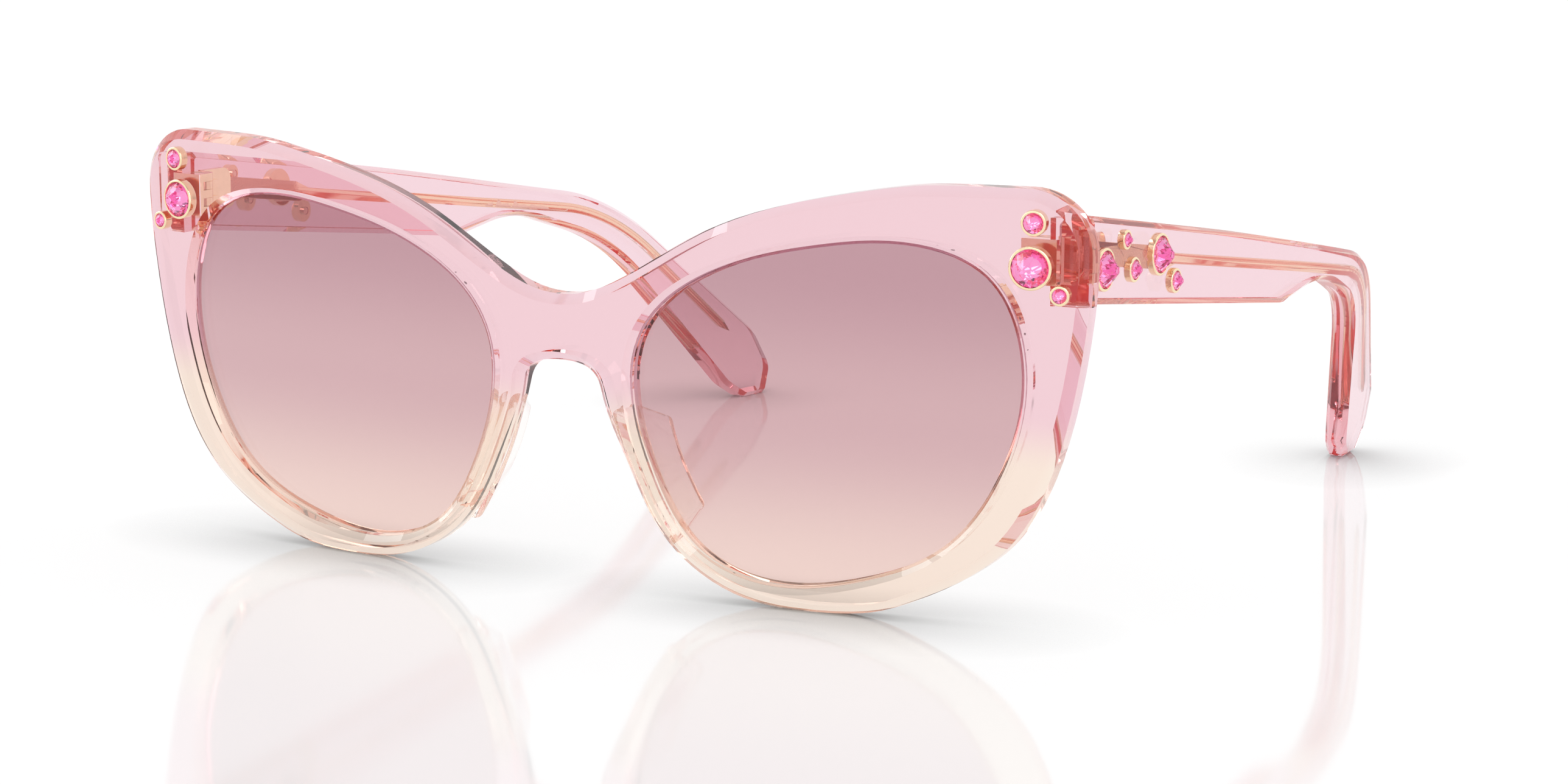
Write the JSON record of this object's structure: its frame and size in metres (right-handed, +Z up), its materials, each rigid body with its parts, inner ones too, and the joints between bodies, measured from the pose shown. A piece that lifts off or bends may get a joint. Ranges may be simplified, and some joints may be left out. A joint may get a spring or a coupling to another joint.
{
  "type": "cat eye sunglasses",
  "caption": "Cat eye sunglasses with a wrapped clear acetate front, gradient lenses, hinged temples with metal cores, and faceted stones set in metal bezels at the corners",
  "frame": {"origin": "Middle of the footprint of the open sunglasses, on the table they stand on.", "axes": "+X is the wearer's left, +Y runs back from the front towards the ears, +Z is up. The front faces -Y."},
  "size_m": [0.1418, 0.1462, 0.0548],
  "materials": {
    "front_acetate": "polished clear acetate, pink at the top fading to champagne at the bottom",
    "temple_acetate": "polished clear pink acetate",
    "pad_acetate": "polished clear acetate",
    "tinted_lens": "pink tint, darker at the top, fading downward",
    "cut_stone": "faceted pink crystal",
    "bezel_gold": "polished pale gold plating",
    "hinge_gold": "polished pale gold plating",
    "screw_metal": "gold-plated steel",
    "core_metal": "rose gold, plate sand-blasted and wire drawn"
  },
  "bodies": {
    "front_assembly": {"front_bezel_lower_left": "bezel_gold", "front_bezel_lower_right": "bezel_gold", "front_bezel_main_left": "bezel_gold", "front_bezel_main_right": "bezel_gold", "front_bezel_upper_left": "bezel_gold", "front_bezel_upper_right": "bezel_gold", "front_frame": "front_acetate", "front_stone_lower_left": "cut_stone", "front_stone_lower_right": "cut_stone", "front_stone_main_left": "cut_stone", "front_stone_main_right": "cut_stone", "front_stone_upper_left": "cut_stone", "front_stone_upper_right": "cut_stone", "hinge_front_leaf_left": "hinge_gold", "hinge_front_leaf_right": "hinge_gold", "hinge_screw_left": "screw_metal", "hinge_screw_right": "screw_metal", "lens_left": "tinted_lens", "lens_right": "tinted_lens", "nose_pad_left": "pad_acetate", "nose_pad_right": "pad_acetate"},
    "left_temple_assembly": {"hinge_temple_leaf_left": "hinge_gold", "temple_bezel_first_left": "bezel_gold", "temple_bezel_high_left": "bezel_gold", "temple_bezel_low_left": "bezel_gold", "temple_bezel_main_left": "bezel_gold", "temple_bezel_middle_left": "bezel_gold", "temple_core_left": "core_metal", "temple_left": "temple_acetate", "temple_stone_first_left": "cut_stone", "temple_stone_high_left": "cut_stone", "temple_stone_low_left": "cut_stone", "temple_stone_main_left": "cut_stone", "temple_stone_middle_left": "cut_stone"},
    "right_temple_assembly": {"hinge_temple_leaf_right": "hinge_gold", "temple_bezel_first_right": "bezel_gold", "temple_bezel_high_right": "bezel_gold", "temple_bezel_low_right": "bezel_gold", "temple_bezel_main_right": "bezel_gold", "temple_bezel_middle_right": "bezel_gold", "temple_core_right": "core_metal", "temple_right": "temple_acetate", "temple_stone_first_right": "cut_stone", "temple_stone_high_right": "cut_stone", "temple_stone_low_right": "cut_stone", "temple_stone_main_right": "cut_stone", "temple_stone_middle_right": "cut_stone"}
  },
  "joints": [
    {"name": "left_temple_hinge", "type": "hinge", "parent": "front_assembly", "child": "left_temple_assembly", "pos_m": [0.063, -0.06121, 0.0458], "axis": [0, 0, 1], "range_deg": [0, 85]},
    {"name": "right_temple_hinge", "type": "hinge", "parent": "front_assembly", "child": "right_temple_assembly", "pos_m": [-0.063, -0.06121, 0.0458], "axis": [0, 0, -1], "range_deg": [0, 73]}
  ]
}
